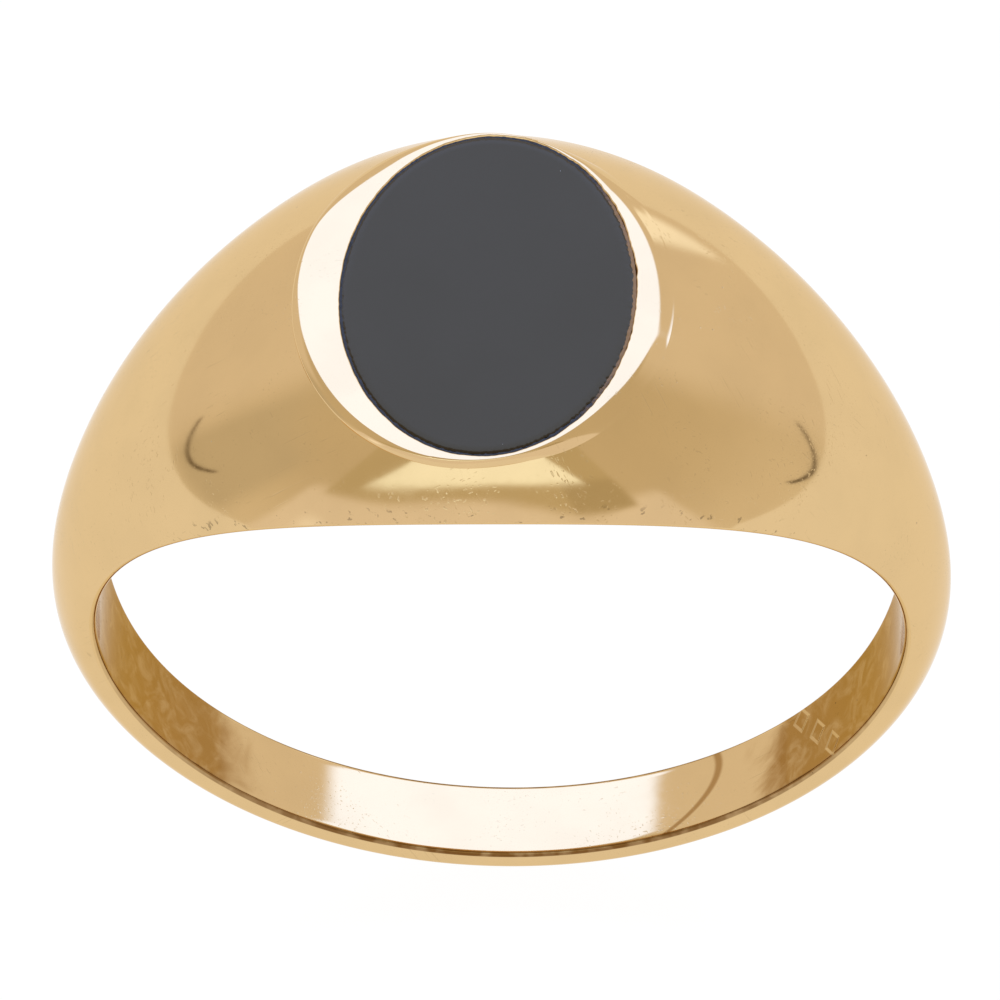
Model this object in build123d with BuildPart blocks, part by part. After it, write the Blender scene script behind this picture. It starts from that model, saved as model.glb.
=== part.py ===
"""Signet ring: a tapered gold hoop with an oval bezel soldered on, holding a flat black stone.

All sizes are millimetres. The origin is the centre of the finger hole, +Y runs along the finger
and +Z points from the finger out through the stone's flat face, the table.
"""

import os
from math import cos, radians, sin, tan

from build123d import *

# ---- Driving sizes -------------------------------------------------------------------------------
# Finger hole
bore_diameter = 19.8
bore_edge_break = 0.12  # 45 degree break round both mouths of the finger hole

# Hoop: how wide and how thick it is at the shank and at the head
shank_width = 2.22
head_width = 11.88
width_taper = 6.1  # larger values keep the band narrow for longer before it flares
shank_thickness = 1.13
shoulder_swell = 0.82
shoulder_swell_power = 10.0
head_swell = 0.89
head_swell_power = 110.0
shank_edge_thickness = 0.38
head_edge_thickness = 0.16
dome_rise = 0.44  # how far up the dome its sides start to turn over
shank_crown_reach = 0.39  # 0.55 is a round crown and smaller values are closer to a ridge
head_crown_reach = 0.55
head_side_lean = 0.185  # how far the head's sides lean in, where the shank's stand upright

# Bezel and stone
table_height_over_bore = 1.36
stone_width = 6.93
stone_length = 9.7
stone_thickness = 0.9
stone_side_angle = 20.0
stone_bevel = 0.06
stone_clearance = 0.04
cement_thickness = 0.06
rim_width_at_sides = 0.8
rim_width_at_ends = 0.22
rim_offset = -0.36  # the rim is wider on the -X side, and dies into the shoulder on the +X side
rim_edge_radius = 0.1
rim_thickness = 0.21
collet_wall = 0.14
solder_film = 0.05
solder_fillet_height = 0.18
setting_turn = -1.1  # the oval sits this many degrees off square to the hoop

# ---- Sizes that follow from them -----------------------------------------------------------------
bore_radius = bore_diameter / 2
table_z = bore_radius + table_height_over_bore
rim_underside_z = table_z - rim_thickness
hoop_top_z = rim_underside_z - solder_film
pocket_depth = stone_thickness + cement_thickness
pocket_floor_z = table_z - pocket_depth
draft = tan(radians(stone_side_angle))
pocket_half_width = stone_width / 2 + stone_clearance
pocket_half_length = stone_length / 2 + stone_clearance
rim_half_width = stone_width / 2 + rim_width_at_sides
rim_half_length = stone_length / 2 + rim_width_at_ends
# The collet's wall is measured at the rim's underside, where the tapered pocket is widest below it
collet_inset = draft * rim_thickness - collet_wall
collet_half_width = pocket_half_width - collet_inset + 0.15
collet_half_length = pocket_half_length - collet_inset
section_depth = 1.0  # how far each hoop section reaches inside the finger hole before that is cut


def taper_share(angle, power):
    """How much of the head's form is left at an angle round the finger: 1 at the stone, 0 opposite."""
    return abs(cos(radians(angle) / 2)) ** power


def half_width(angle):
    """Half the hoop's width at an angle round the finger, measured from the stone."""
    return (shank_width + (head_width - shank_width) * taper_share(angle, width_taper)) / 2


def crown_height(angle):
    """The hoop's thickness at the middle of its width."""
    swell = shoulder_swell * taper_share(angle, shoulder_swell_power)
    return shank_thickness + swell + head_swell * taper_share(angle, head_swell_power)


def edge_height(angle):
    """The hoop's thickness at its two edges."""
    gain = head_edge_thickness - shank_edge_thickness
    return shank_edge_thickness + gain * taper_share(angle, 4)


def crown_reach(angle):
    """How far the top of the dome spreads towards its edges, as a share of the half width."""
    return shank_crown_reach + (head_crown_reach - shank_crown_reach) * taper_share(angle, 4)


def hoop_plane(angle):
    """A plane through the finger's axis: its X runs along the finger and its Y points outward."""
    turn = radians(angle)
    return Plane(origin=(0, 0, 0), x_dir=(0, 1, 0), z_dir=(cos(turn), 0, -sin(turn)))


def hoop_section(angle):
    """The domed section of the band at one angle, reaching a little inside the finger hole."""
    w = half_width(angle)
    crown = bore_radius + crown_height(angle)
    edge = bore_radius + edge_height(angle)
    knee = edge + dome_rise * (crown - edge)
    knee_w = w * (1 - head_side_lean * taper_share(angle, 4))
    top_w = w * crown_reach(angle)
    broken = bore_radius + bore_edge_break
    foot_w = w - bore_edge_break - section_depth
    foot = bore_radius - section_depth
    if foot_w < 0.02:
        # the shank is too narrow for the break to run the full depth
        foot = broken - (w - 0.02)
        foot_w = 0.02
    with BuildSketch(hoop_plane(angle)) as section:
        with BuildLine():
            Line((foot_w, foot), (w, broken))
            Line((w, broken), (w, edge))
            Bezier((w, edge), (knee_w, knee), (top_w, crown), (0, crown))
            Bezier((0, crown), (-top_w, crown), (-knee_w, knee), (-w, edge))
            Line((-w, edge), (-w, broken))
            Line((-w, broken), (-foot_w, foot))
            Line((-foot_w, foot), (foot_w, foot))
        make_face()
    return section.sketch


def oval(z, half_x, half_y, offset=0.0):
    """An oval face on a level plane, turned with the setting."""
    with BuildSketch(Plane.XY.offset(z)) as face:
        with Locations(Location((offset, 0, 0), (0, 0, setting_turn))):
            Ellipse(half_x, half_y)
    return face.sketch


def cut_finger_hole():
    """Take the finger hole out of the sub-part being built."""
    with Locations(Location((0, 0, 0), (90, 0, 0))):
        Cylinder(bore_radius, 2 * head_width, mode=Mode.SUBTRACT)


# ---- The hoop as lofted, before the head is planed -----------------------------------------------
section_angles = [-14, -7, 0, 7, 14, 21, 28, 36, 45, 55, 67, 80, 95, 112, 130, 148, 164, 180, 196]
with BuildPart() as hoop_blank:
    for angle in section_angles:
        add(hoop_section(angle))
    loft()
    split(bisect_by=Plane.YZ, keep=Keep.TOP)
    mirror(about=Plane.YZ)
    cut_finger_hole()

# ---- Hoop: planed flat for the bezel and pierced for the collet ----------------------------------
with BuildPart() as hoop:
    add(hoop_blank.part)
    with BuildSketch(Plane.XY.offset(hoop_top_z)):
        Rectangle(4 * bore_radius, 2 * head_width)
    extrude(amount=bore_radius, mode=Mode.SUBTRACT)
    add(oval(bore_radius / 2, collet_half_width, collet_half_length))
    extrude(amount=bore_radius, mode=Mode.SUBTRACT)

# ---- Bezel cup: a collet through the hoop's opening, with a flat rim round the stone -------------
with BuildPart() as bezel_cup:
    add(oval(bore_radius / 2, collet_half_width, collet_half_length))
    extrude(amount=rim_underside_z - bore_radius / 2)
    add(oval(rim_underside_z, rim_half_width, rim_half_length, rim_offset))
    extrude(amount=rim_thickness)
    rim_edge = bezel_cup.edges().group_by(Axis.Z)[-1]
    fillet(rim_edge, rim_edge_radius)
    add(oval(table_z, pocket_half_width, pocket_half_length))
    floor_inset = draft * pocket_depth
    add(oval(pocket_floor_z, pocket_half_width - floor_inset, pocket_half_length - floor_inset))
    loft(mode=Mode.SUBTRACT)
    cut_finger_hole()

# ---- Bezel solder: a film under the rim and a fillet filed back to the shoulder's dome -----------
with BuildPart() as bezel_solder:
    with BuildSketch(Plane.XY.offset(hoop_top_z)):
        Rectangle(2 * rim_half_length, 2 * head_width)
    extrude(amount=solder_film + solder_fillet_height)
    add(hoop_blank.part, mode=Mode.INTERSECT)
    add(oval(rim_underside_z, rim_half_width, rim_half_length, rim_offset))
    extrude(amount=rim_thickness, mode=Mode.SUBTRACT)
    add(oval(bore_radius, collet_half_width, collet_half_length))
    extrude(amount=2 * table_height_over_bore, mode=Mode.SUBTRACT)

# ---- Cement bed: fills the bottom of the pocket --------------------------------------------------
cement_top_inset = draft * stone_thickness
with BuildPart() as cement_bed:
    add(oval(pocket_floor_z, pocket_half_width - floor_inset, pocket_half_length - floor_inset))
    add(
        oval(
            pocket_floor_z + cement_thickness,
            pocket_half_width - cement_top_inset,
            pocket_half_length - cement_top_inset,
        )
    )
    loft()

# ---- Onyx stone: flat table, tapered sides, a small bevel at the table's edge --------------------
with BuildPart() as onyx_stone:
    add(oval(table_z, stone_width / 2, stone_length / 2))
    add(
        oval(
            table_z - stone_thickness,
            stone_width / 2 - cement_top_inset,
            stone_length / 2 - cement_top_inset,
        )
    )
    loft()
    chamfer(onyx_stone.edges().group_by(Axis.Z)[-1], stone_bevel)

# ---- Write every piece ---------------------------------------------------------------------------
os.makedirs("parts", exist_ok=True)
pieces = {
    "hoop": hoop,
    "bezel_cup": bezel_cup,
    "bezel_solder": bezel_solder,
    "cement_bed": cement_bed,
    "onyx_stone": onyx_stone,
}
for name, piece in pieces.items():
    piece.part.label = name
    export_step(piece.part, "parts/" + name + ".step")
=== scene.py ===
"""Looks for a gold signet ring with a flat black stone, in metres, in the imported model's frame.

The finger hole runs along Y and the stone's face, the table, looks along +Z.
"""

import logging
import math
from dataclasses import dataclass, field
from enum import Enum
from typing import List, Optional, Sequence, Tuple

import bmesh
import bpy
from mathutils import Matrix, Vector, noise


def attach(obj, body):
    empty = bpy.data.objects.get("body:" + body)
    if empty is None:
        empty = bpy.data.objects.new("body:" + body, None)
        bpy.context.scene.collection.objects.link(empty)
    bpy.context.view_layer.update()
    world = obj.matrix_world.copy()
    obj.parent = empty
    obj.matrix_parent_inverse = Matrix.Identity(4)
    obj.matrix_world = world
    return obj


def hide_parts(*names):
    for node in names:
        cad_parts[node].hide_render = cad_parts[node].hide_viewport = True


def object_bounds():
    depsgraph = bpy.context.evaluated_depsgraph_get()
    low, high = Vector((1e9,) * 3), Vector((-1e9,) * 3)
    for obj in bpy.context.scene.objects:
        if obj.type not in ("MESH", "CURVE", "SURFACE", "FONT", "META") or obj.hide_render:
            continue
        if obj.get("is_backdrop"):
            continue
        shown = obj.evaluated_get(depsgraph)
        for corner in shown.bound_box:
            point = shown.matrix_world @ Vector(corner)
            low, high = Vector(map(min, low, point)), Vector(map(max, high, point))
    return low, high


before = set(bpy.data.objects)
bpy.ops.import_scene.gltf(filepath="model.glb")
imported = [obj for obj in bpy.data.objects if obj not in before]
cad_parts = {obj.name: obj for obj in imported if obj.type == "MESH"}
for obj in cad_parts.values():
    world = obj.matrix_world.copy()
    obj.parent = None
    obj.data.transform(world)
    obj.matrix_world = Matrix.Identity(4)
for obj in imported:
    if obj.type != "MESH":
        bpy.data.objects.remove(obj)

MM = 0.001
Colour = Tuple[float, float, float]
Pair = Tuple[float, float]
Loop = List[Vector]
Socket = bpy.types.NodeSocket
Material = bpy.types.Material

# half the stone's width and length in millimetres, its turn in degrees, and how fast its side tapers
STONE_HALF = (3.465, 4.85)
SETTING_TURN = -1.1
SIDE_DRAFT = math.tan(math.radians(20))
# how many points go round an oval or round the finger
POINTS_ROUND = 720
# degrees in a radian
DEGREES = 180 / math.pi

logging.basicConfig(level=logging.INFO, format="%(levelname)s %(message)s")
log = logging.getLogger("signet_ring")


class Facing(Enum):
    """Which way an azimuth is counted from, so that no board straddles the seam."""

    FRONT = "front"
    BACK = "back"


# ---- Node helpers --------------------------------------------------------------------------------


@dataclass
class Bench:
    """Places nodes in one node tree and joins them."""

    tree: bpy.types.NodeTree

    def node(self, kind: str, **settings: object) -> bpy.types.Node:
        """Adds a node.

        Args:
            kind: Blender's type name for the node.
            settings: properties to set on it.

        Returns:
            The new node.
        """
        made = self.tree.nodes.new(kind)
        for name, value in settings.items():
            setattr(made, name, value)
        return made

    def feed(self, socket: Socket, value: object) -> None:
        """Joins an output to a socket, or sets the socket to a constant.

        Args:
            socket: the input to fill.
            value: an output socket, a number, or a sequence of numbers.
        """
        if isinstance(value, Socket):
            self.tree.links.new(value, socket)
        elif isinstance(value, (tuple, list)) and len(value) == 3 and socket.type == "RGBA":
            socket.default_value = (*value, 1.0)
        else:
            socket.default_value = value

    def calc(self, operation: str, *terms: object, clamp: bool = False) -> Socket:
        """One step of arithmetic.

        Args:
            operation: the Math node's operation.
            terms: up to three outputs or numbers.
            clamp: whether the result is held between 0 and 1.

        Returns:
            The result's socket.
        """
        step = self.node("ShaderNodeMath", operation=operation, use_clamp=clamp)
        for socket, term in zip(step.inputs, terms):
            self.feed(socket, term)
        return step.outputs[0]

    def times(self, *terms: object) -> Socket:
        """The product of two or more outputs or numbers.

        Args:
            terms: what is multiplied, in order.

        Returns:
            The product's socket.
        """
        result = terms[0]
        for term in terms[1:]:
            result = self.calc("MULTIPLY", result, term)
        return result

    def relief(self, shader: bpy.types.Node, height: object, depth: float) -> None:
        """Gives a shader a fine relief.

        Args:
            shader: the material's shader.
            height: the output that the relief follows.
            depth: how deep a height of 1 is, in metres.
        """
        bump = self.node("ShaderNodeBump")
        bump.inputs["Strength"].default_value = 1.0
        bump.inputs["Distance"].default_value = depth
        self.feed(bump.inputs["Height"], height)
        self.feed(shader.inputs["Normal"], bump.outputs[0])

    def ramp(self, value: object, low: object, high: object, to: Pair = (0.0, 1.0)) -> Socket:
        """A smooth rise from one number to another.

        Args:
            value: the output that drives it.
            low: where the rise starts.
            high: where the rise ends.
            to: the two numbers it runs between.

        Returns:
            The result's socket.
        """
        rise = self.node("ShaderNodeMapRange", interpolation_type="SMOOTHSTEP")
        for index, term in enumerate((value, low, high, *to)):
            self.feed(rise.inputs[index], term)
        return rise.outputs[0]

    def blend(self, factor: object, first: object, second: object, mode: str = "MIX") -> Socket:
        """A mix of two colours.

        Args:
            factor: how much of the second shows.
            first: colour or output at factor 0.
            second: colour or output at factor 1.
            mode: the Mix node's blend type.

        Returns:
            The colour's socket.
        """
        mix = self.node("ShaderNodeMix", data_type="RGBA", blend_type=mode)
        self.feed(mix.inputs[0], factor)
        self.feed(mix.inputs[6], first)
        self.feed(mix.inputs[7], second)
        return mix.outputs[2]

    def place(
        self,
        scale: object,
        turn: Tuple[float, float, float] = (0, 0, 0),
        shift: Tuple[float, float, float] = (0, 0, 0),
    ) -> Socket:
        """Object coordinates in millimetres, turned and stretched.

        Args:
            scale: how many units there are to a millimetre along each axis.
            turn: rotation in degrees.
            shift: offset in units.

        Returns:
            The vector's socket.
        """
        where = self.node("ShaderNodeTexCoord")
        turned = self.node("ShaderNodeMapping", vector_type="POINT")
        self.feed(turned.inputs["Vector"], where.outputs["Object"])
        turned.inputs["Rotation"].default_value = [math.radians(a) for a in turn]
        stretched = self.node("ShaderNodeMapping", vector_type="POINT")
        self.feed(stretched.inputs["Vector"], turned.outputs[0])
        size = (scale, scale, scale) if isinstance(scale, (int, float)) else scale
        stretched.inputs["Scale"].default_value = [s / MM for s in size]
        stretched.inputs["Location"].default_value = shift
        return stretched.outputs[0]

    def noise(
        self, vector: object, detail: float = 3.0, rough: float = 0.5, warp: float = 0.0
    ) -> Socket:
        """Soft noise from 0 to 1.

        Args:
            vector: where it is read.
            detail: how many octaves it has.
            rough: how strong the small octaves are.
            warp: how much it is distorted.

        Returns:
            The value's socket.
        """
        made = self.node("ShaderNodeTexNoise")
        self.feed(made.inputs["Vector"], vector)
        settings = {"Scale": 1.0, "Detail": detail, "Roughness": rough, "Distortion": warp}
        for name, value in settings.items():
            self.feed(made.inputs[name], value)
        return made.outputs["Fac"]

    def cells(self, vector: object) -> Tuple[Socket, Socket]:
        """Random points.

        Args:
            vector: where they are read.

        Returns:
            The distance to the nearest point, and that point's random colour.
        """
        made = self.node("ShaderNodeTexVoronoi")
        self.feed(made.inputs["Vector"], vector)
        made.inputs["Scale"].default_value = 1.0
        return made.outputs["Distance"], made.outputs["Color"]

    def split(self, vector: object) -> Sequence[Socket]:
        """Takes a vector apart.

        Args:
            vector: the output to take apart.

        Returns:
            Its X, Y and Z.
        """
        made = self.node("ShaderNodeSeparateXYZ")
        self.feed(made.inputs[0], vector)
        return made.outputs

    def total(self, values: Sequence[object]) -> object:
        """The sum of several outputs.

        Args:
            values: the outputs to add.

        Returns:
            The sum's socket.
        """
        result = values[0]
        for value in values[1:]:
            result = self.calc("ADD", result, value)
        return result


# ---- Finishes ------------------------------------------------------------------------------------


def shaded(colour: Colour, share: float) -> Colour:
    """A colour made lighter or darker by a share."""
    return tuple(c * share for c in colour)


def started(name: str) -> Tuple[Material, Bench, bpy.types.Node]:
    """Starts a material.

    Args:
        name: the material's name.

    Returns:
        The material, a bench for its nodes, and its shader.
    """
    made = bpy.data.materials.new(name)
    made.use_nodes = True
    return made, Bench(made.node_tree), made.node_tree.nodes["Principled BSDF"]


@dataclass(frozen=True)
class PolishedGold:
    """Yellow gold that was buffed bright, then worn: hairline scratches, pits and a slight ripple."""

    name: str
    colour: Colour = (0.738, 0.519, 0.2585)
    roughness: float = 0.075
    ripple: float = 0.35
    scratches: float = 1.0
    pits: float = 1.0
    nicks: float = 0.0
    inside: bool = False
    # painted shade: the brown that stands in for the dark reflection on the finger hole's flanks
    painted_shade_tint: Colour = (0.50, 0.36, 0.19)
    edge_tint: Colour = (0.935, 0.85, 0.71)

    def make(self) -> Material:
        """Builds the material.

        Returns:
            The material.
        """
        made, bench, shader = started(self.name)
        shader.inputs["Metallic"].default_value = 1.0
        shader.inputs["Specular Tint"].default_value = (*self.edge_tint, 1.0)
        hair = self._scratches(bench)
        pit = self._pits(bench)
        patch = bench.noise(bench.place(0.45, shift=(3, 1, 7)), 3, 0.55)
        fine = bench.noise(bench.place(5.0), 3, 0.6)
        tone = bench.blend(bench.ramp(patch, 0.35, 0.7), self.colour, shaded(self.colour, 0.955))
        dull = bench.blend(bench.times(pit, 0.75), tone, shaded(self.colour, 0.38))
        worn = bench.blend(bench.times(hair, 0.35), dull, shaded(self.colour, 0.68))
        stamp: object = 0.0
        if self.inside:
            # the finger hole's painted shade and its punch marks go on here
            worn, stamp = self._inside(bench, worn)
        if self.nicks > 0:
            worn = self._nicked(bench, worn)
        bench.feed(shader.inputs["Base Color"], worn)
        haze = bench.times(bench.ramp(patch, 0.45, 0.75), 0.03)
        rough = bench.total(
            [
                bench.times(fine, self.roughness * 0.8),
                bench.calc("ADD", haze, self.roughness * 0.55),
                bench.times(hair, 0.09),
                bench.times(pit, 0.3),
            ]
        )
        bench.feed(shader.inputs["Roughness"], rough)
        height = bench.total(
            [
                bench.times(bench.noise(bench.place(0.5), 2, 0.4), 0.010 * self.ripple),
                bench.times(bench.noise(bench.place(2.2), 2, 0.4), 0.0012 * self.ripple),
                bench.times(hair, -0.0012),
                bench.times(pit, -0.012),
                bench.times(stamp, -0.02),
            ]
        )
        bench.relief(shader, height, MM)
        return made

    def _inside(self, bench: Bench, tone: Socket) -> Tuple[Socket, Socket]:
        """Painted shade on the two flanks of the finger hole, standing in for their dark reflection of the
        shaded floor under the ring; a painted shadow streak; three blank punch marks; and painted shade
        along the hole's rounded edges.

        Args:
            bench: where the nodes go.
            tone: the gold's colour so far.

        Returns:
            The colour with the painted shade on it, and the depth of the punch marks from 0 to 1.
        """
        x, y, z = bench.split(bench.place(1.0))
        radius = bench.calc("SQRT", bench.calc("MULTIPLY_ADD", x, x, bench.times(z, z)))
        wall = bench.ramp(radius, FORM.bore_radius + 0.05, FORM.bore_radius + 0.02)
        round_finger = bench.times(bench.calc("ARCTAN2", x, z), DEGREES)
        away = bench.calc("ABSOLUTE", round_finger)
        swirl = bench.noise(bench.place(0.42, shift=(2, 5, 1)), 4, 0.55, 1.6)
        drift = bench.calc("MULTIPLY_ADD", swirl, 18.0, bench.calc("SUBTRACT", away, 9.0))
        upper = bench.ramp(bench.calc("MULTIPLY_ADD", y, 2.0, drift), 76.0, 92.0)
        side = bench.ramp(round_finger, -5.0, 5.0, (0.0, 3.0))
        lower = bench.ramp(bench.calc("SUBTRACT", drift, side), 139.0, 130.0)
        blotch = bench.noise(bench.place(1.6, shift=(8, 1, 4)), 3, 0.6, 0.8)
        # painted shade on the two flanks, mottled, in place of their dark reflection of the shaded floor
        painted_flank_shade = bench.times(upper, lower, bench.ramp(blotch, 0.25, 0.6, (0.72, 1.0)), wall)
        # a painted shadow streak that winds across the wall from one mouth to the other
        path = bench.calc("MULTIPLY_ADD", y, -4.2, bench.times(y, y, 3.2))
        past = bench.calc("SUBTRACT", bench.calc("SUBTRACT", round_finger, 149.2), path)
        painted_shadow_streak = bench.times(bench.ramp(bench.calc("ABSOLUTE", past), 1.0, 0.25), wall)
        dark = bench.calc("MAXIMUM", painted_flank_shade, bench.times(painted_shadow_streak, 0.8))
        painted_shade_factor = bench.blend(dark, (1.0, 1.0, 1.0), self.painted_shade_tint)
        stamps: List[Socket] = []
        edges: List[Socket] = []
        for at, along in ((124.6, -0.72), (128.2, 0.0), (131.8, 0.72)):
            u = bench.calc("ABSOLUTE", bench.calc("MULTIPLY_ADD", round_finger, 0.6, -0.6 * at))
            v = bench.calc("ABSOLUTE", bench.calc("MULTIPLY_ADD", y, 2.7, -2.7 * along))
            reach = bench.calc("ADD", u, v)
            stamps.append(bench.ramp(reach, 1.1, 0.8))
            from_edge = bench.calc("ABSOLUTE", bench.calc("SUBTRACT", reach, 0.95))
            edges.append(bench.ramp(from_edge, 0.25, 0.08))
        depth = bench.times(bench.total(stamps), wall)
        outline = bench.times(bench.total(edges), wall, 0.75)
        coloured = bench.blend(1.0, tone, painted_shade_factor, "MULTIPLY")
        # painted shade: a dark brown line along the rounded edges of the shank, stronger towards the
        # bottom, in place of their dark reflection
        hole = FORM.bore_radius
        bevel = bench.times(
            bench.ramp(radius, hole + 0.003, hole + 0.015),
            bench.ramp(radius, hole + 0.11, hole + 0.085),
            bench.ramp(away, 95.0, 165.0, (0.3, 1.0)),
            bench.ramp(bench.noise(bench.place(2.0), 2, 0.6), 0.3, 0.6, (0.7, 1.0)),
        )
        coloured = bench.blend(bevel, coloured, (0.19, 0.085, 0.02))
        return bench.blend(outline, coloured, (0.66, 0.45, 0.21)), depth

    def _nicked(self, bench: Bench, tone: Socket) -> Socket:
        """Nicks along the front edge of the head.

        Args:
            bench: where the nodes go.
            tone: the gold's colour so far.

        Returns:
            The colour with the nicks on it.
        """
        x, y, z = bench.split(bench.place(1.0))
        radius = bench.calc("SQRT", bench.calc("MULTIPLY_ADD", x, x, bench.times(z, z)))
        chips = bench.noise(bench.place((3.4, 3.4, 7.0)), 3, 0.6)
        near_edge = bench.ramp(radius, FORM.bore_radius + 0.5, FORM.bore_radius + 0.32)
        chip = bench.times(
            bench.ramp(chips, 0.62, 0.68, (0.0, self.nicks)), near_edge, bench.ramp(y, -3.2, -4.2)
        )
        return bench.blend(chip, tone, shaded(self.colour, 0.3))

    def _scratches(self, bench: Bench) -> Socket:
        """Hairline scratches in several directions, kept to patches.

        Args:
            bench: where the nodes go.

        Returns:
            0 off a scratch and up to 1 on one.
        """
        sets = []
        for index, (turn, length, width) in enumerate(
            [((20, 35, 10), 0.35, 16.0), ((-40, 10, 62), 0.5, 20.0), ((75, -30, 120), 0.28, 13.0)]
        ):
            warped = bench.place((length, width, width), turn, (index * 11.3, 4.7, 1.9))
            lines = bench.noise(warped, 1.0, 0.4, 0.15)
            there = bench.noise(bench.place(0.55, shift=(index * 7.0, 2.0, 5.0)), 1, 0.5)
            sets.append(bench.times(bench.ramp(lines, 0.67, 0.75), bench.ramp(there, 0.5, 0.64)))
        return bench.calc("MULTIPLY", bench.total(sets), self.scratches, clamp=True)

    def _pits(self, bench: Bench) -> Socket:
        """Tiny casting pits, more of them in some places.

        Args:
            bench: where the nodes go.

        Returns:
            0 off a pit and up to 1 in one.
        """
        distance, pick = bench.cells(bench.place(2.6, (13, 27, 41)))
        chosen, size, _ = bench.split(pick)
        there = bench.noise(bench.place(0.3, shift=(9.1, 0.4, 2.2)), 1, 0.5)
        radius = bench.calc("MULTIPLY_ADD", size, 0.05, 0.035)
        dot = bench.ramp(distance, radius, bench.times(radius, 0.4))
        few = bench.ramp(chosen, 0.74, 0.78)
        return bench.times(dot, few, bench.ramp(there, 0.38, 0.6, (0.0, self.pits)))


@dataclass(frozen=True)
class DullSolder:
    """Solder in the joint under the rim: darker and duller than the gold round it, with soot on it."""

    name: str = "solder_seam"
    colour: Colour = (0.46, 0.29, 0.13)

    def make(self) -> Material:
        """Builds the material.

        Returns:
            The material.
        """
        made, bench, shader = started(self.name)
        shader.inputs["Metallic"].default_value = 1.0
        grain = bench.noise(bench.place(7.0), 4, 0.6)
        soot = bench.noise(bench.place(1.4, shift=(1, 2, 3)), 2, 0.5)
        colour = bench.blend(bench.ramp(soot, 0.45, 0.65), self.colour, (0.24, 0.135, 0.06))
        bench.feed(shader.inputs["Base Color"], colour)
        bench.feed(shader.inputs["Roughness"], bench.calc("MULTIPLY_ADD", grain, 0.2, 0.16))
        bench.relief(shader, grain, 0.02 * MM)
        return made


@dataclass(frozen=True)
class PolishedOnyx:
    """Black onyx, flat polished: a dark grey mirror with specks of dust and faint lap marks."""

    name: str = "onyx"
    colour: Colour = (0.004, 0.004, 0.0045)

    def make(self) -> Material:
        """Builds the material.

        Returns:
            The material.
        """
        made, bench, shader = started(self.name)
        shader.inputs["IOR"].default_value = 1.54
        shader.inputs["Specular Tint"].default_value = (1.0, 0.745, 0.38, 1.0)
        cloud = bench.noise(bench.place(0.3), 3, 0.5)
        grain = bench.noise(bench.place(9.0), 2, 0.6)
        body = bench.blend(bench.ramp(cloud, 0.35, 0.7), self.colour, shaded(self.colour, 1.7))
        distance, pick = bench.cells(bench.place(1.3, (5, 8, 30)))
        chosen, size, _ = bench.split(pick)
        speck_size = bench.calc("MULTIPLY_ADD", size, 0.012, 0.012)
        speck = bench.times(bench.ramp(distance, speck_size, 0.004), bench.ramp(chosen, 0.6, 0.64))
        bench.feed(shader.inputs["Base Color"], bench.blend(speck, body, (0.5, 0.5, 0.5)))
        lines = bench.noise(bench.place((0.3, 22, 1), (0, 0, 32)), 1, 0.4)
        rough = bench.total(
            [
                bench.times(grain, 0.05),
                bench.calc("MULTIPLY_ADD", bench.ramp(lines, 0.7, 0.76), 0.05, 0.16),
                bench.times(speck, 0.6),
            ]
        )
        bench.feed(shader.inputs["Roughness"], rough)
        bench.relief(shader, grain, 0.002 * MM)
        return made


@dataclass(frozen=True)
class SettingCement:
    """Dark setting cement with a painted reflection of the bezel's gold wall in shade: browner along one
    side of the stone.
    """

    name: str = "cement"
    dark: Colour = (0.008, 0.009, 0.012)
    # painted reflection: the bezel's gold wall seen in shade
    painted_gold_reflection: Colour = (0.26, 0.14, 0.045)

    def make(self) -> Material:
        """Builds the material.

        Returns:
            The material.
        """
        made, bench, shader = started(self.name)
        x, _, _ = bench.split(bench.place(1.0))
        grain = bench.noise(bench.place(5.0), 4, 0.7)
        # the painted reflection takes over towards +X, where the bezel's gold wall shows in shade
        side = bench.ramp(bench.calc("MULTIPLY_ADD", grain, 2.0, x), 3.2, 4.3)
        bench.feed(shader.inputs["Base Color"], bench.blend(side, self.dark, self.painted_gold_reflection))
        bench.feed(shader.inputs["Roughness"], bench.calc("MULTIPLY_ADD", grain, 0.3, 0.4))
        bench.relief(shader, grain, 0.03 * MM)
        return made


@dataclass(frozen=True)
class PaleFloor:
    """A plain white sheet, lit evenly from below so that shadows on it stay faint."""

    name: str = "pale_floor"
    glow: float = 0.955
    colour: Colour = (0.07, 0.07, 0.07)

    def make(self) -> Material:
        """Builds the material.

        Returns:
            The material.
        """
        made, bench, shader = started(self.name)
        grain = bench.noise(bench.place(0.02), 2, 0.5)
        sheet = bench.blend(grain, self.colour, shaded(self.colour, 0.97))
        bench.feed(shader.inputs["Base Color"], sheet)
        shader.inputs["Roughness"].default_value = 1.0
        shader.inputs["Specular IOR Level"].default_value = 0.0
        shader.inputs["Emission Color"].default_value = (1.0, 1.0, 1.0, 1.0)
        shader.inputs["Emission Strength"].default_value = self.glow
        return made


# ---- Mesh helpers --------------------------------------------------------------------------------


def smooth(share: float) -> float:
    """A share from 0 to 1 with its two ends eased."""
    return share * share * (3 - 2 * share)


def round_angles() -> List[float]:
    """The angles, in radians, of the points in every oval loop."""
    return [2 * math.pi * i / POINTS_ROUND for i in range(POINTS_ROUND)]


def ragged(angle: float, fineness: float, seed: float) -> float:
    """Unevenness at an angle round an oval.

    Args:
        angle: where, in radians.
        fineness: how closely the bumps follow each other.
        seed: which of many patterns it is.

    Returns:
        A number between -1 and 1.
    """
    return noise.noise(Vector((math.cos(angle) * fineness, math.sin(angle) * fineness, seed)))


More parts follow.
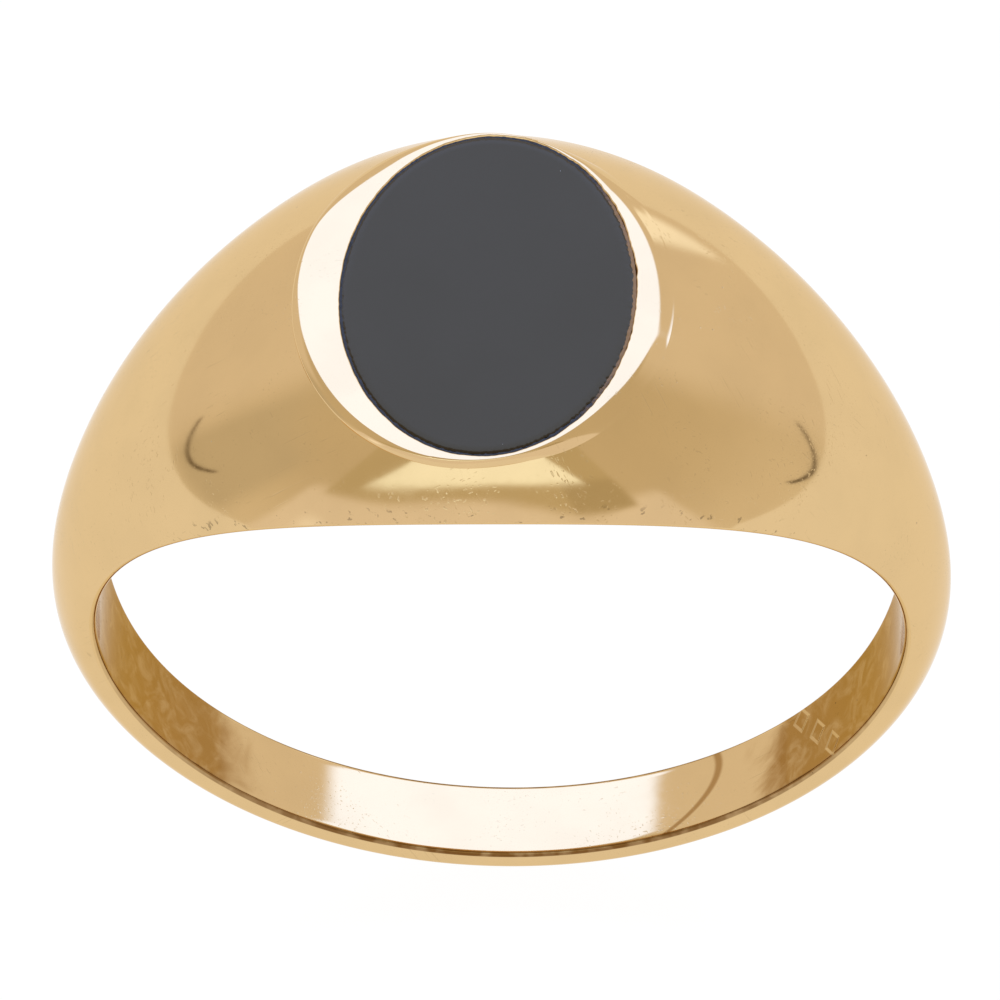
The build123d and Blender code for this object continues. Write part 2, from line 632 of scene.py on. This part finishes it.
def skin(name: str, loops: Sequence[Loop], cap_first: bool, cap_last: bool) -> bpy.types.Object:
    """Makes a mesh from closed loops of equal length, joined one to the next.

    Args:
        name: the object's name.
        loops: the loops, in order.
        cap_first: whether the first loop is filled.
        cap_last: whether the last loop is filled.

    Returns:
        The object, linked to the scene.
    """
    count = len(loops[0])
    verts = [tuple(point) for loop in loops for point in loop]
    faces = []
    for row in range(len(loops) - 1):
        this, after = row * count, (row + 1) * count
        for i in range(count):
            j = (i + 1) % count
            faces.append((this + i, this + j, after + j, after + i))
    if cap_first:
        faces.append(tuple(range(count))[::-1])
    if cap_last:
        faces.append(tuple((len(loops) - 1) * count + i for i in range(count)))
    mesh = bpy.data.meshes.new(name)
    mesh.from_pydata(verts, [], faces)
    return finished(name, mesh)


def finished(name: str, mesh: bpy.types.Mesh, sharp: float = 40.0) -> bpy.types.Object:
    """Turns a mesh's faces outward, shades it smooth but for its corners, and links it.

    Args:
        name: the object's name.
        mesh: the mesh.
        sharp: the least angle in degrees that stays a corner.

    Returns:
        The object.
    """
    work = bmesh.new()
    work.from_mesh(mesh)
    bmesh.ops.remove_doubles(work, verts=work.verts, dist=0.00002 * MM)
    bmesh.ops.recalc_face_normals(work, faces=work.faces)
    work.to_mesh(mesh)
    work.free()
    mesh.shade_smooth()
    mesh.set_sharp_from_angle(angle=math.radians(sharp))
    made = bpy.data.objects.new(name, mesh)
    bpy.context.scene.collection.objects.link(made)
    return made


def present(piece: bpy.types.Object, slot: str, material: Material, *nodes: str) -> None:
    """Dresses a piece and fixes it to the frame.

    Args:
        piece: the piece.
        slot: the record's material slot that it belongs to.
        material: its material.
        nodes: the CAD nodes that it stands for.
    """
    piece.data.materials.clear()
    piece.data.materials.append(material)
    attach(piece, "root")
    if nodes:
        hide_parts(*nodes)
    faces = len(piece.data.polygons)
    log.info("piece %s: %d faces, slot %s, stands for %s", piece.name, faces, slot, nodes)


# ---- The ring's form -----------------------------------------------------------------------------


@dataclass(frozen=True)
class HoopForm:
    """Sizes of the hoop in millimetres, and how its section changes round the finger."""

    bore_radius: float = 9.9
    edge_break: float = 0.16
    shank_width: float = 2.22
    head_width: float = 11.88
    width_taper: float = 6.1
    thickness: float = 1.13
    shoulder_swell: float = 0.82
    shoulder_power: float = 10.0
    head_swell: float = 0.89
    head_power: float = 110.0
    shank_edge: float = 0.38
    head_edge: float = 0.16
    dome_rise: float = 0.44
    shank_crown_reach: float = 0.39
    head_crown_reach: float = 0.55
    head_side_lean: float = 0.185
    table_over_bore: float = 1.36
    rim_thickness: float = 0.21
    solder_film: float = 0.05

    @property
    def table(self) -> float:
        """Height of the stone's face."""
        return self.bore_radius + self.table_over_bore

    @property
    def seat(self) -> float:
        """Height of the flat planed on the head."""
        return self.table - self.rim_thickness - self.solder_film

    def share(self, angle: float, power: float) -> float:
        """How much of the head's form is left at an angle, in radians, round the finger."""
        return abs(math.cos(angle / 2)) ** power

    def half_width(self, angle: float) -> float:
        """Half the hoop's width at an angle."""
        gain = self.head_width - self.shank_width
        return (self.shank_width + gain * self.share(angle, self.width_taper)) / 2

    def crown(self, angle: float) -> float:
        """The dome's middle.

        Args:
            angle: round the finger from the stone, in radians.

        Returns:
            Its radius.
        """
        shoulder = self.shoulder_swell * self.share(angle, self.shoulder_power)
        head = self.head_swell * self.share(angle, self.head_power)
        return self.bore_radius + self.thickness + shoulder + head

    def edge(self, angle: float) -> float:
        """Radius of the foot of the dome at an angle."""
        gain = self.head_edge - self.shank_edge
        return self.bore_radius + self.shank_edge + gain * self.share(angle, 4)

    def dome_point(self, angle: float, step: float) -> Pair:
        """A point on the dome's outline at an angle.

        Args:
            angle: round the finger from the stone, in radians.
            step: 0 at the dome's foot and 1 at its middle.

        Returns:
            Its distance along the finger and its radius.
        """
        head = self.share(angle, 4)
        w, low, high = self.half_width(angle), self.edge(angle), self.crown(angle)
        top = self.shank_crown_reach + (self.head_crown_reach - self.shank_crown_reach) * head
        a, b, c, d = (1 - step) ** 3, 3 * step * (1 - step) ** 2, 3 * step * step * (1 - step), step**3
        y = w * (a + b * (1 - self.head_side_lean * head) + c * top)
        return y, low * a + (low + self.dome_rise * (high - low)) * b + high * (c + d)

    def dome_height(self, x: float, y: float) -> float:
        """Height of the unplaned dome over a point of the head.

        Args:
            x: across the ring.
            y: along the finger.

        Returns:
            The height, or the finger hole's radius where the dome does not reach.
        """
        radius = self.bore_radius + 2.0
        for _ in range(5):
            angle = math.asin(max(-0.9, min(0.9, x / radius)))
            low, high = 0.0, 1.0
            if abs(y) >= self.half_width(angle):
                return self.bore_radius
            for _ in range(13):
                step = (low + high) / 2
                low, high = (step, high) if self.dome_point(angle, step)[0] > abs(y) else (low, step)
            radius = self.dome_point(angle, low)[1]
        return math.sqrt(max(0.0, radius * radius - x * x))

    def section(self, angle: float, dome_steps: int, bore_steps: int) -> List[Pair]:
        """The closed section of the hoop at an angle.

        Args:
            angle: round the finger from the stone, in radians.
            dome_steps: points on each half of the dome.
            bore_steps: points across the finger hole's wall.

        Returns:
            Pairs of distance along the finger and radius.
        """
        w = self.half_width(angle)
        c = min(self.edge_break, self.edge(angle) - self.bore_radius)
        half: List[Pair] = []
        for i in range(11):
            turn = math.radians(90 * i / 10)
            half.append((w - c + c * math.sin(turn), self.bore_radius + c - c * math.cos(turn)))
        half += [self.dome_point(angle, i / dome_steps) for i in range(dome_steps + 1)]
        flat = [(w - c) * (2 * i / bore_steps - 1) for i in range(1, bore_steps)]
        inner = [(y, self.bore_radius) for y in flat]
        return inner + half + [(-y, r) for y, r in half[:-1][::-1]]


FORM = HoopForm()


def oval(half: Sequence[float], turn: float, angle: float, centre: Pair = (0, 0)) -> Pair:
    """A point of an oval in millimetres.

    Args:
        half: half its width and half its length.
        turn: how far it is turned, in degrees.
        angle: which point, in radians.
        centre: its centre.

    Returns:
        The point's x and y.
    """
    x, y = half[0] * math.cos(angle), half[1] * math.sin(angle)
    c, s = math.cos(math.radians(turn)), math.sin(math.radians(turn))
    return centre[0] + x * c - y * s, centre[1] + x * s + y * c


@dataclass
class Hoop:
    """The finger ring: shank and shoulders in one piece, planed flat under the bezel."""

    form: HoopForm = FORM
    dome_steps: int = 30
    bore_steps: int = 20
    opening: Pair = (3.72, 4.954)
    turn: float = SETTING_TURN
    finish: PolishedGold = PolishedGold("hoop_gold", nicks=0.6)
    wall_finish: PolishedGold = PolishedGold(
        "finger_hole_gold", inside=True, edge_tint=(0.83, 0.68, 0.47)
    )

    def build(self) -> None:
        """Makes the hoop, pierces it for the collet and dresses it."""
        loops = []
        for angle in round_angles():
            ring = self.form.section(angle, self.dome_steps, self.bore_steps)
            sin, cos = math.sin(angle), math.cos(angle)
            loops.append([Vector((r * sin, y, r * cos)) * MM for y, r in ring])
        count = len(loops[0])
        verts = [tuple(p) for loop in loops for p in loop]
        faces = []
        for i in range(len(loops)):
            this, after = i * count, (i + 1) % len(loops) * count
            for j in range(count):
                m = (j + 1) % count
                faces.append((this + j, after + j, after + m, this + m))
        mesh = bpy.data.meshes.new("hoop_gold")
        mesh.from_pydata(verts, [], faces)
        work = bmesh.new()
        work.from_mesh(mesh)
        bmesh.ops.recalc_face_normals(work, faces=work.faces)
        cut = bmesh.ops.bisect_plane(
            work,
            geom=work.verts[:] + work.edges[:] + work.faces[:],
            plane_co=(0, 0, self.form.seat * MM),
            plane_no=(0, 0, 1),
            clear_outer=True,
        )
        rim = [e for e in cut["geom_cut"] if isinstance(e, bmesh.types.BMEdge)]
        bmesh.ops.edgeloop_fill(work, edges=rim)
        work.to_mesh(mesh)
        work.free()
        body = bpy.data.objects.new("hoop_work", mesh)
        bpy.context.scene.collection.objects.link(body)
        cutter = skin("cutter", [self._outline(z) for z in (5.0, 13.0)], True, True)
        pierced = body.modifiers.new("opening", "BOOLEAN")
        pierced.operation = "DIFFERENCE"
        pierced.solver = "EXACT"
        pierced.object = cutter
        graph = bpy.context.evaluated_depsgraph_get()
        result = bpy.data.meshes.new_from_object(body.evaluated_get(graph))
        for old in (body, cutter):
            bpy.data.objects.remove(old)
        result.name = "hoop_shell"
        shell = finished("hoop_shell", result, 20)
        present(shell, "gold_hoop", self.finish.make(), "hoop")
        shell.data.materials.append(self.wall_finish.make())
        wall_ends = self.form.bore_radius + self.form.edge_break + 0.005
        for face in shell.data.polygons:
            if math.hypot(face.center.x, face.center.z) / MM < wall_ends:
                face.material_index = 1

    def _outline(self, height: float) -> Loop:
        """The opening's outline at a height in millimetres."""
        points = [oval(self.opening, self.turn, 2 * math.pi * i / 240) for i in range(240)]
        return [Vector((x, y, height)) * MM for x, y in points]


@dataclass
class Bezel:
    """The oval collet with its flat rim, which dies into the shoulder on the +X side."""

    form: HoopForm = FORM
    rim: Pair = (4.264, 5.06)
    rim_centre: Pair = (-0.358, -0.04)
    stone_half: Pair = STONE_HALF
    clearance: float = 0.04
    pocket_depth: float = 0.96
    mouth_round: float = 0.03
    draft: float = SIDE_DRAFT
    collet: Pair = (3.715, 4.95)
    turn: float = SETTING_TURN
    edge_round: float = 0.15
    end_round: float = 0.06
    blend: float = 0.12
    soft_from: float = 0.22
    filed: Tuple[Tuple[float, float, float, float], ...] = (
        (114.0, 10.0, 34.0, 0.88),
        (-55.0, 15.0, 45.0, 0.6),
        (214.0, 22.0, 30.0, 0.42),
    )
    gaps: Tuple[Tuple[float, float, float], ...] = ((219.0, 9.0, 0.12), (297.0, 2.6, 0.09))
    filed_drop: float = 0.19
    finish: PolishedGold = PolishedGold(
        "bezel_gold", roughness=0.06, ripple=0.12, scratches=0.5, pits=0.3
    )

    def _inner(self, inset: float, height: float, roughness: float = 0.0) -> Loop:
        """A loop round the pocket.

        Args:
            inset: how far it lies inside the pocket's mouth.
            height: its height.
            roughness: how uneven it is.

        Returns:
            The loop.
        """
        loop = []
        for a in round_angles():
            wave = roughness * (ragged(a, 9, 1.7) + 0.7 * ragged(a, 33, 4.2))
            wave *= 1 + 1.6 * max(0.0, math.cos(a))
            wave += 2.2 * roughness * max(0.0, math.cos(a - 0.15)) ** 3
            half = [h + self.clearance - inset + wave for h in self.stone_half]
            loop.append(Vector((*oval(half, self.turn, a), height)) * MM)
        return loop

    def _reaches(self) -> List[float]:
        """How far the rim has to run out to die into the shoulder's dome.

        Returns:
            The reach beyond the rim's oval at every angle, evened out between neighbours.
        """
        found = []
        for angle in round_angles():
            x, y = oval(self.rim, self.turn, angle, self.rim_centre)
            low, high = 0.0, 1.2
            for _ in range(9):
                far = (low + high) / 2
                height = self.form.dome_height(x + far * math.cos(angle), y + far * math.sin(angle))
                low, high = (far, high) if height > self.form.seat - 0.02 else (low, far)
            found.append(low)
        span = range(-20, 21)
        return [sum(found[(i + k) % len(found)] for k in span) / len(span) for i in range(len(found))]

    def _outer(self, step: float, angle: float, reach: float) -> Vector:
        """A point on the rim's rounded edge.

        Args:
            step: 0 at the flat's edge and 1 at the foot.
            angle: which point round the rim, in radians.
            reach: how far out the rim runs where it dies into the shoulder.

        Returns:
            The point in millimetres.
        """
        soft = smooth(min(1.0, reach / self.soft_from))
        x, y = oval(self.rim, self.turn, angle, self.rim_centre)
        flat, out = Vector((x, y, 0)), Vector((math.cos(angle), math.sin(angle), 0))
        mouth = [h + self.clearance + self.mouth_round for h in self.stone_half]
        x, y = oval(mouth, self.turn, angle)
        inward = Vector((x, y, 0)) - flat
        widest = max(0.05, inward.length - 0.05)
        zone, deepest = self.filed_over(angle)
        filed = zone * deepest
        worn = self.edge_round + self.end_round * max(0.0, -math.sin(angle)) ** 6
        back = min(widest, worn * (1 - soft) + 0.3 * soft)
        back += (widest * deepest - back) * zone
        start = flat + inward.normalized() * back
        spot = start.lerp(flat + out * (0.01 + reach), step)
        crisp = worn * (1 - math.sqrt(max(0.0, 1 - step * step)))
        fall = (crisp * (1 - filed) + self.filed_drop * step**1.9 * filed) * (1 - soft)
        if soft > 0:
            dome = self.form.dome_height(spot.x, spot.y)
            share = max(0.0, min(1.0, 0.5 + 0.5 * (dome - self.form.table) / self.blend))
            level = dome + (self.form.table - dome) * share - self.blend * share * (1 - share)
            ramp = (self.form.table - self.form.seat + 0.02) * step**1.5
            fall += min(self.form.table - level, ramp) * soft
        return Vector((spot.x, spot.y, self.form.table - fall))

    def filed_over(self, angle: float) -> Pair:
        """Whether the rim's flat is filed over towards the shoulder.

        Args:
            angle: which point round the rim, in radians.

        Returns:
            How much it is filed, from 0 to 1, and the share of the rim's width that this takes.
        """
        most = (0.0, 0.0)
        for at, flat, fade, deepest in self.filed:
            off = abs((math.degrees(angle) - at + 180) % 360 - 180)
            most = max(most, (smooth(max(0.0, min(1.0, (flat + fade - off) / fade))), deepest))
        return most

    def build(self) -> None:
        """Makes the bezel and dresses it."""
        form, angles = self.form, round_angles()
        loops = [self._inner(self.draft * self.pocket_depth, form.table - self.pocket_depth)]
        for inset, depth in ((self.draft * 0.2, 0.2), (self.draft * 0.03, 0.03), (-0.008, 0.008)):
            loops.append(self._inner(inset, form.table - depth, 0.012))
        mouth = self._inner(-self.mouth_round, form.table, 0.010)
        loops.append(mouth)
        reach = self._reaches()
        edge = [self._outer(0.0, a, r) * MM for a, r in zip(angles, reach)]
        for k in range(1, 7):
            loops.append([m.lerp(e, k / 7) for m, e in zip(mouth, edge)])
        for k in range(17):
            step = math.sin(math.radians(90 * k / 16))
            loops.append([self._outer(step, a, r) * MM for a, r in zip(angles, reach)])
        under = form.seat + form.solder_film
        foot = [self._outer(1.0, a, r) for a, r in zip(angles, reach)]
        sink = [min(p.z, under + self.lift(a)) for p, a in zip(foot, angles)]
        loops.append([Vector((p.x, p.y, z)) * MM for p, z in zip(foot, sink)])
        loops.append(self._collet(1.0, sink))
        loops.append(self._collet(1.0, None))
        for k in range(1, 11):
            loops.append(self._collet(1 - k / 10.5, None))
        rim = skin("bezel_rim", loops, True, True)
        present(rim, "gold_bezel", self.finish.make(), "bezel_cup")

    def lift(self, angle: float) -> float:
        """How far the rim's foot may stand clear of the solder at an angle, if it has the room."""
        degrees = math.degrees(angle) % 360
        return max(high * max(0.0, 1 - ((degrees - at) / half) ** 2) for at, half, high in self.gaps)

    def _collet(self, scale: float, heights: Optional[List[float]]) -> Loop:
        """A loop on the collet's wall, or on its underside, which follows the finger hole.

        Args:
            scale: its size as a share of the collet's.
            heights: its heights, or None to lie on the finger hole's wall.

        Returns:
            The loop.
        """
        loop = []
        for i, a in enumerate(round_angles()):
            x, y = oval([half * scale for half in self.collet], self.turn, a)
            z = heights[i] if heights else math.sqrt(self.form.bore_radius**2 - x * x)
            loop.append(Vector((x, y, z)) * MM)
        return loop


@dataclass
class SolderSeam:
    """The solder in the crease under the rim, drawn back at two places."""

    bezel: Bezel
    inset: float = 0.07
    sunk: float = 0.005
    low: Tuple[Pair, ...] = ((-0.12, 0.0), (0.02, 0.0), (0.035, 0.022))
    high: Tuple[Pair, ...] = ((0.02, 0.05), (-0.03, 0.066), (-0.12, 0.05))
    finish: DullSolder = DullSolder()

    def build(self) -> None:
        """Makes the seam and dresses it."""
        rim = self.bezel.rim
        loops: List[Loop] = []
        for out, height in self.low + self.high:
            loop = []
            for a in round_angles():
                x, y = oval(rim, self.bezel.turn, a, self.bezel.rim_centre)
                way = Vector((math.cos(a) / rim[0], math.sin(a) / rim[1], 0)).normalized()
                reach = out + 0.02 * ragged(a, 12, 0.3) - 2.5 * self.bezel.lift(a) - self.inset
                z = self.bezel.form.seat - self.sunk + height
                loop.append(Vector((x + way.x * reach, y + way.y * reach, z)) * MM)
            loops.append(loop)
        loops.append(loops[0])
        seam = skin("solder_seam", loops, False, False)
        present(seam, "gold_solder", self.finish.make(), "bezel_solder")


@dataclass
class Stone:
    """The flat oval stone, with a narrow bevel and a slightly worn edge."""

    form: HoopForm = FORM
    half: Pair = STONE_HALF
    thickness: float = 0.9
    bevel: float = 0.06
    draft: float = SIDE_DRAFT
    turn: float = SETTING_TURN
    finish: PolishedOnyx = PolishedOnyx()

    def build(self) -> None:
        """Makes the stone and dresses it."""
        levels = [
            (self.draft * self.thickness, self.thickness, 0.0),
            (self.draft * self.bevel, self.bevel, 0.012),
            (self.bevel * 0.45, self.bevel * 0.4, 0.012),
            (self.bevel, 0.012, 0.010),
            (self.bevel * 1.5, 0.0, 0.006),
            (0.25, 0.0, 0.0),
        ]
        loops = []
        for inset, depth, chips in levels:
            loop = []
            for a in round_angles():
                rag = chips * (ragged(a, 60, 0.5) + ragged(a, 150, 2.5))
                rag *= 1 + 1.5 * max(0.0, math.cos(a))
                x, y = oval([half - inset + rag for half in self.half], self.turn, a)
                loop.append(Vector((x, y, self.form.table - depth)) * MM)
            loops.append(loop)
        for k in range(1, 8):
            scale = 1 - k / 8
            loops.append([Vector((p.x * scale, p.y * scale, p.z)) for p in loops[len(levels) - 1]])
        stone = skin("onyx_table", loops, True, True)
        present(stone, "black_onyx", self.finish.make(), "onyx_stone")


@dataclass
class CementLine:
    """The thread of cement that shows between the stone and the rim, and the bed under the stone."""

    form: HoopForm = FORM
    half: Pair = STONE_HALF
    turn: float = SETTING_TURN
    finish: SettingCement = SettingCement()

    def build(self, bed: bpy.types.Object) -> None:
        """Makes the thread and dresses it and the bed.

        Args:
            bed: the CAD node of the cement bed, which stays.
        """
        loops = []
        for inset, depth in ((0.1, 0.22), (0.06, 0.035), (0.0, 0.02), (-0.05, 0.035), (-0.03, 0.22)):
            loop = []
            for a in round_angles():
                x, y = oval([half - inset for half in self.half], self.turn, a)
                z = self.form.table - depth + 0.02 * ragged(a, 40, 8.5)
                loop.append(Vector((x, y, z)) * MM)
            loops.append(loop)
        loops.append(loops[0])
        material = self.finish.make()
        present(skin("cement_thread", loops, False, False), "setting_cement", material)
        bed.data.materials.clear()
        bed.data.materials.append(material)
        log.info("piece %s: carried over", bed.name)


# ---- Light, floor and camera ---------------------------------------------------------------------


@dataclass(frozen=True)
class Board:
    """A soft-edged board of light or shade in the tent, in degrees of azimuth and elevation.

    Azimuth is 0 straight in front of the ring, towards -Y, and grows towards +X. A bow drops the
    board's lower or upper edge away from its middle azimuth, a tilt drops its lower edge towards
    +X, and a lean slants its sides.
    """

    colour: Colour
    across: Pair
    up: Pair
    soft: Pair = (2.0, 2.0)
    bow: Pair = (0.0, 0.0)
    middle: float = 0.0
    tilt: float = 0.0
    lean: float = 0.0
    facing: Facing = Facing.FRONT


@dataclass
class LightTent:
    """A pale tent, darker to the top, with bright and dim boards behind the ring and in front."""

    low: Colour = (0.95, 0.97, 0.97)
    middle: Colour = (0.85, 0.80, 0.72)
    high: Colour = (0.737, 0.675, 0.56)
    boards: List[Board] = field(
        default_factory=lambda: [
            # the open front: light below, a dark sill, then the lit panel over the camera
            Board((0.975, 0.95, 0.975), (-71, 66), (-60, 39.5), (3.0, 4.0), bow=(0, 0.0024)),
            Board((0.70, 0.66, 0.58), (-108, -80), (0, 30), (8.0, 8.0)),
            Board((1.25, 1.30, 1.45), (-63.5, -57), (-20, 19), (6.0, 8.0)),
            Board((0.665, 0.60, 0.445), (-66, 57), (37.4, 62), (2.0, 2.4), (0.0024, 0.0), tilt=0.01),
            Board((0.57, 0.505, 0.365), (35, 57), (37.2, 43), (4.0, 2.0), bow=(0.0024, 0.0018)),
            Board(
                (1.30, 1.455, 1.60), (-25, 20.5), (41.1, 64), (1.6, 1.8), (0.0018, 0), tilt=-0.03, lean=1.2
            ),
            # paler light from the back corners
            Board((0.90, 0.86, 0.83), (-70, 70), (-5, 40), (14, 10), facing=Facing.BACK),
            # the bright board behind the ring, which the flat table mirrors
            Board((1.42, 1.85, 3.30), (-44, 56), (30, 75), (2.5, 5.0), facing=Facing.BACK),
            Board((1.30, 1.40, 1.60), (26, 34), (3, 14), (3.0, 4.0), facing=Facing.BACK),
            # the gap in the tent's roof
            Board((0.62, 0.55, 0.44), (-75, 75), (64, 100), (16.0, 6.0)),
            Board((0.60, 0.52, 0.41), (-200, 200), (78, 100), (1.0, 8.0)),
            # thin dark chevrons at the two sides
            Board((0.16, 0.12, 0.08), (-111, -92.5), (3.3, 4.6), (1.5, 0.7), (-0.06, -0.06), -102),
            Board((0.12, 0.09, 0.06), (91, 111), (-0.2, 1.1), (1.5, 0.7), (-0.052, -0.052), 99.5),
        ]
    )

    def build(self) -> None:
        """Makes the world's light."""
        world = bpy.data.worlds.new("light_tent")
        bpy.context.scene.world = world
        world.use_nodes = True
        bench = Bench(world.node_tree)
        where = bench.node("ShaderNodeTexCoord").outputs["Generated"]
        x, y, z = bench.split(where)
        up = bench.times(bench.calc("ARCSINE", z), DEGREES)
        front = bench.times(bench.calc("ARCTAN2", x, bench.times(y, -1.0)), DEGREES)
        back = bench.times(bench.calc("ARCTAN2", x, y), DEGREES)
        tone = bench.blend(bench.ramp(up, -22.0, 6.0), self.low, self.middle)
        tone = bench.blend(bench.ramp(up, 4.0, 40.0), tone, self.high)
        for board in self.boards:
            across = front if board.facing is Facing.FRONT else back
            tone = bench.blend(self._mask(bench, board, across, up), tone, board.colour)
        background = world.node_tree.nodes["Background"]
        bench.feed(background.inputs["Color"], tone)
        background.inputs["Strength"].default_value = 1.0

    def _mask(self, bench: Bench, board: Board, across: object, up: object) -> Socket:
        """Where a board is.

        Args:
            bench: where the nodes go.
            board: the board.
            across: azimuth's output.
            up: elevation's output.

        Returns:
            1 on the board and 0 off it.
        """
        from_middle = bench.calc("SUBTRACT", across, board.middle)
        square = bench.times(from_middle, from_middle)
        shade: List[Socket] = []
        for side, edge, bow in zip((1, -1), board.up, board.bow):
            level = bench.calc("MULTIPLY_ADD", square, bow, up)
            if side == 1 and board.tilt:
                level = bench.calc("MULTIPLY_ADD", across, board.tilt, level)
            half = side * board.soft[1] / 2
            shade.append(bench.ramp(level, edge - half, edge + half))
        slant = bench.times(bench.calc("SUBTRACT", 60.0, up), board.lean)
        for side, edge in zip((1, -1), board.across):
            level = bench.calc("MULTIPLY_ADD", slant, float(side), across)
            half = side * board.soft[0] / 2
            shade.append(bench.ramp(level, edge - half, edge + half))
        return bench.times(*shade)


@dataclass
class Floor:
    """The sheet that the ring stands over."""

    size: float = 3.0
    drop: float = 0.0004
    finish: PaleFloor = PaleFloor()

    def build(self, lowest: float) -> None:
        """Makes the floor.

        Args:
            lowest: the height of the ring's lowest point, in metres.
        """
        mesh = bpy.data.meshes.new("floor")
        work = bmesh.new()
        bmesh.ops.create_grid(work, x_segments=4, y_segments=4, size=self.size / 2)
        bmesh.ops.translate(work, verts=work.verts, vec=(0, 0, lowest - self.drop))
        work.to_mesh(mesh)
        work.free()
        sheet = bpy.data.objects.new("floor", mesh)
        bpy.context.scene.collection.objects.link(sheet)
        sheet.data.materials.append(self.finish.make())
        sheet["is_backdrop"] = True


@dataclass
class CameraStand:
    """The camera: where it stands round the ring in degrees, how far off in mm, and its lens."""

    elevation: float = 52.48
    azimuth: float = -1.16
    roll: float = -0.02
    tilt: float = -1.70
    distance: float = 210.3
    focal_length: float = 307.38977
    sensor: float = 36.0
    shift: Pair = (-0.00144, 0.08393)

    def build(self) -> None:
        """Makes the camera and gives it to the scene."""
        rows = (
            Matrix.Rotation(math.radians(self.roll), 3, "Z")
            @ Matrix.Rotation(math.radians(self.elevation - 90), 3, "X")
            @ Matrix.Rotation(math.radians(self.azimuth), 3, "Z")
            @ Matrix.Rotation(math.radians(self.tilt), 3, "Y")
        )
        data = bpy.data.cameras.new("camera")
        stand = bpy.data.objects.new("camera", data)
        bpy.context.scene.collection.objects.link(stand)
        place = rows.transposed().to_4x4()
        place.translation = rows[2] * self.distance * MM
        stand.matrix_world = place
        data.sensor_width = self.sensor
        data.sensor_fit = "HORIZONTAL"
        data.lens = self.focal_length
        data.shift_x, data.shift_y = self.shift
        data.clip_start, data.clip_end = 0.005, 20.0
        data.dof.use_dof = False
        bpy.context.scene.camera = stand
        bpy.context.scene.view_settings.view_transform = "Standard"
        bpy.context.scene.view_settings.look = "None"


def main() -> None:
    """Builds the camera, the light and every piece, in order."""
    cad_box = [[float(v) for v in corner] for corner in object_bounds()]
    CameraStand().build()
    LightTent().build()
    Floor().build(cad_box[0][2])
    Hoop().build()
    bezel = Bezel()
    bezel.build()
    SolderSeam(bezel).build()
    CementLine().build(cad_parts["cement_bed"])
    Stone().build()


if __name__ == "__main__":
    main()
